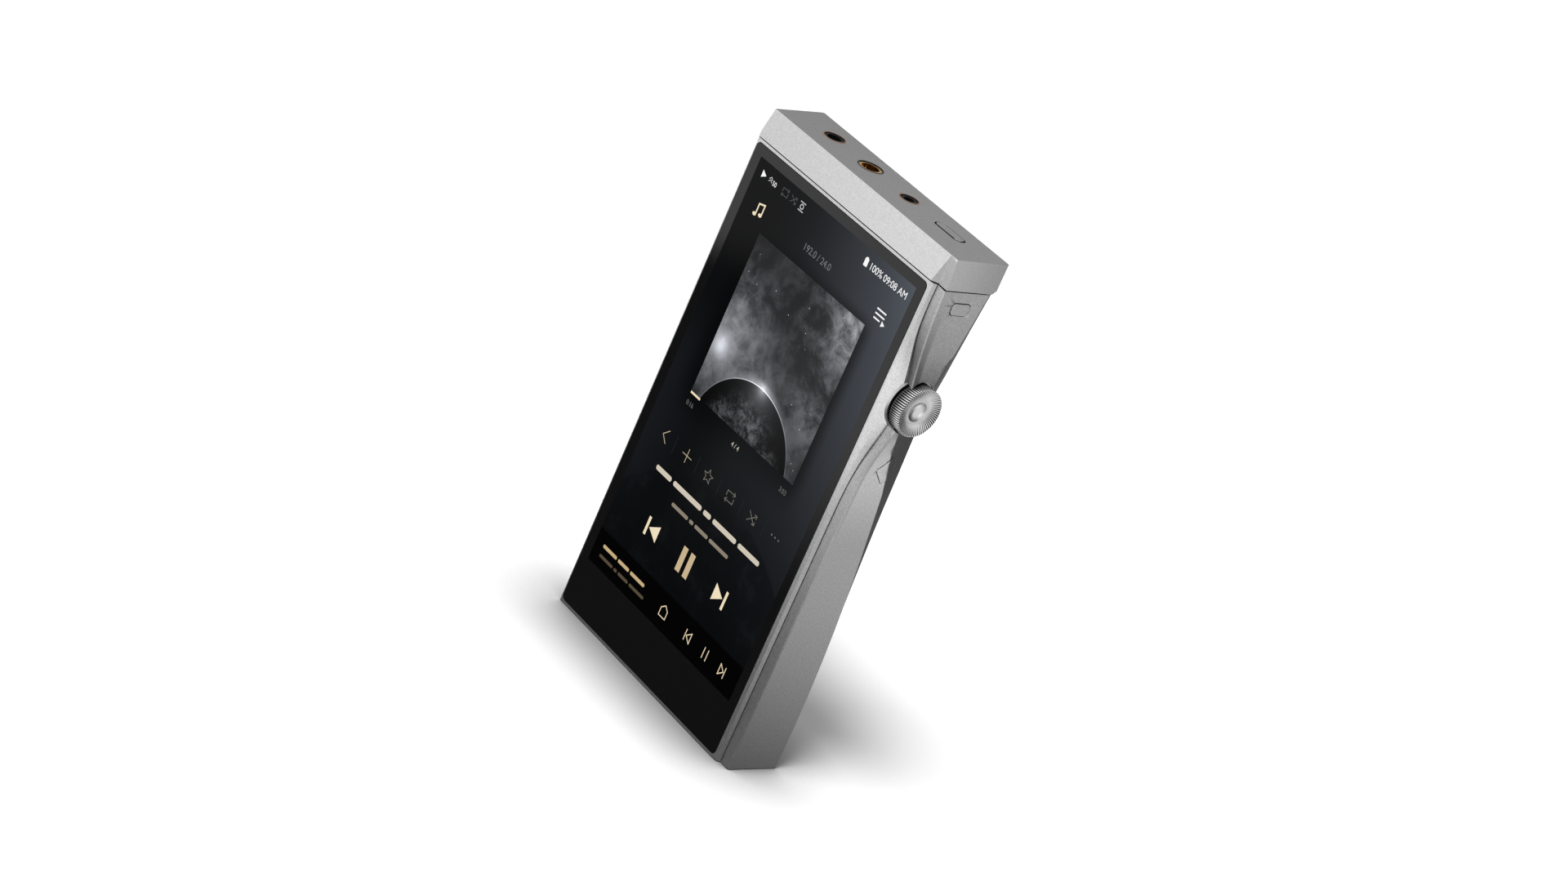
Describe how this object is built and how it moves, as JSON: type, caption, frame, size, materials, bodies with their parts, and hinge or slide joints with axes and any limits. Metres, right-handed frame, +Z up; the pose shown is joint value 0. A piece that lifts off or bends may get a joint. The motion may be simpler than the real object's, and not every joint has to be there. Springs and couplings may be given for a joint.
{
  "type": "digital audio player",
  "caption": "Slab-shaped portable music player with a glass screen, a knurled volume wheel between two side guards and a removable converter and amplifier module with headphone jacks on top.",
  "frame": {"origin": "middle of the flat base that the player stands on", "axes": "+Z up along the height, +X to the right as the screen is read, the screen faces -Y"},
  "size_m": [0.0774, 0.0194, 0.1371],
  "materials": {
    "body_metal": "bead blasted, silver grey",
    "frame_metal": "bead blasted, silver grey",
    "head_metal": "bead blasted, silver grey",
    "key_metal": "bead blasted, silver grey",
    "front_glass": "gloss, black behind",
    "display": "lit display",
    "ribbon": "polyimide ribbon",
    "inner_metal": "machined",
    "steel": "plain steel",
    "back_panel": "gloss, near black",
    "stud": "plain",
    "board": "solder mask",
    "chip": "moulded epoxy",
    "cell_wrap": "foil wrap",
    "lead": "polyimide",
    "black_plastic": "moulded",
    "wheel_steel": "knurled and polished",
    "wheel_polish": "mirror polished",
    "spindle": "ground",
    "bush_brass": "turned",
    "light_guide": "smoked",
    "case_metal": "anodised dark",
    "oscillator": "plated can",
    "capacitor": "moulded tantalum",
    "jack_black": "moulded",
    "jack_gold": "gold plated",
    "ring_black": "satin black",
    "ring_copper": "copper plated"
  },
  "bodies": {
    "housing": {"housing_shell": "body_metal", "display_frame": "frame_metal", "cover_glass": "front_glass", "display_panel": "display", "display_flex": "ribbon", "mid_plate": "inner_metal", "bay_divider": "inner_metal", "chassis_screws": "steel", "usb_receptacle": "steel", "processor_shield": "steel", "card_socket": "steel", "rear_cover": "back_panel", "rear_cover_studs": "stud", "main_board": "board", "io_board": "board", "track_switch_board": "board", "processor_chips": "chip", "battery": "cell_wrap", "battery_lead": "lead", "usb_tongue": "black_plastic", "module_socket": "black_plastic", "module_guide": "black_plastic", "track_switches": "black_plastic", "function_switch": "black_plastic", "wheel_encoder": "black_plastic", "wheel_bushing": "bush_brass", "wheel_light_ring": "light_guide"},
    "volume_wheel": {"wheel_rim": "wheel_steel", "wheel_cap": "wheel_polish", "wheel_shaft": "spindle"},
    "module": {"module_cap": "head_metal", "module_case": "case_metal", "module_lid": "case_metal", "module_board": "board", "module_plug": "black_plastic", "module_shield": "steel", "converter_chips": "chip", "amplifier_chips": "chip", "clock_oscillators": "oscillator", "output_capacitors": "capacitor", "jack_4_4_sleeve": "jack_gold", "jack_3_5_body": "jack_black", "jack_3_5_ring": "ring_copper", "jack_4_4_body": "jack_black", "jack_4_4_ring": "ring_black", "jack_2_5_body": "jack_black", "jack_2_5_ring": "ring_copper", "power_switch": "black_plastic", "power_switch_board": "board"},
    "power_button": {"power_key": "key_metal"},
    "release_button": {"release_key": "key_metal", "release_latch": "steel"},
    "function_button": {"function_key": "key_metal"},
    "next_button": {"next_key": "key_metal"},
    "play_button": {"play_key": "key_metal"},
    "previous_button": {"previous_key": "key_metal"}
  },
  "joints": [
    {"name": "volume_turn", "type": "hinge", "parent": "housing", "child": "volume_wheel", "pos_m": [0.0367, -0.0029, 0.1], "axis": [1, 0, 0], "continuous": true},
    {"name": "module_slide", "type": "slide", "parent": "housing", "child": "module", "axis": [0, 0, 1], "range_m": [0, 0.045]},
    {"name": "power_press", "type": "slide", "parent": "module", "child": "power_button", "axis": [0, 0, -1], "range_m": [0, 0.00035], "stiffness_N_per_m": 1500, "springref_m": -0.0005},
    {"name": "release_press", "type": "slide", "parent": "housing", "child": "release_button", "axis": [-1, 0, 0], "range_m": [0, 0.0005], "stiffness_N_per_m": 1500, "springref_m": -0.0005},
    {"name": "function_press", "type": "slide", "parent": "housing", "child": "function_button", "axis": [-1, 0, 0], "range_m": [0, 0.00035], "stiffness_N_per_m": 1500, "springref_m": -0.0005},
    {"name": "next_press", "type": "slide", "parent": "housing", "child": "next_button", "axis": [1, 0, 0], "range_m": [0, 0.00035], "stiffness_N_per_m": 1500, "springref_m": -0.0005},
    {"name": "play_press", "type": "slide", "parent": "housing", "child": "play_button", "axis": [1, 0, 0], "range_m": [0, 0.00035], "stiffness_N_per_m": 1500, "springref_m": -0.0005},
    {"name": "previous_press", "type": "slide", "parent": "housing", "child": "previous_button", "axis": [1, 0, 0], "range_m": [0, 0.00035], "stiffness_N_per_m": 1500, "springref_m": -0.0005}
  ]
}
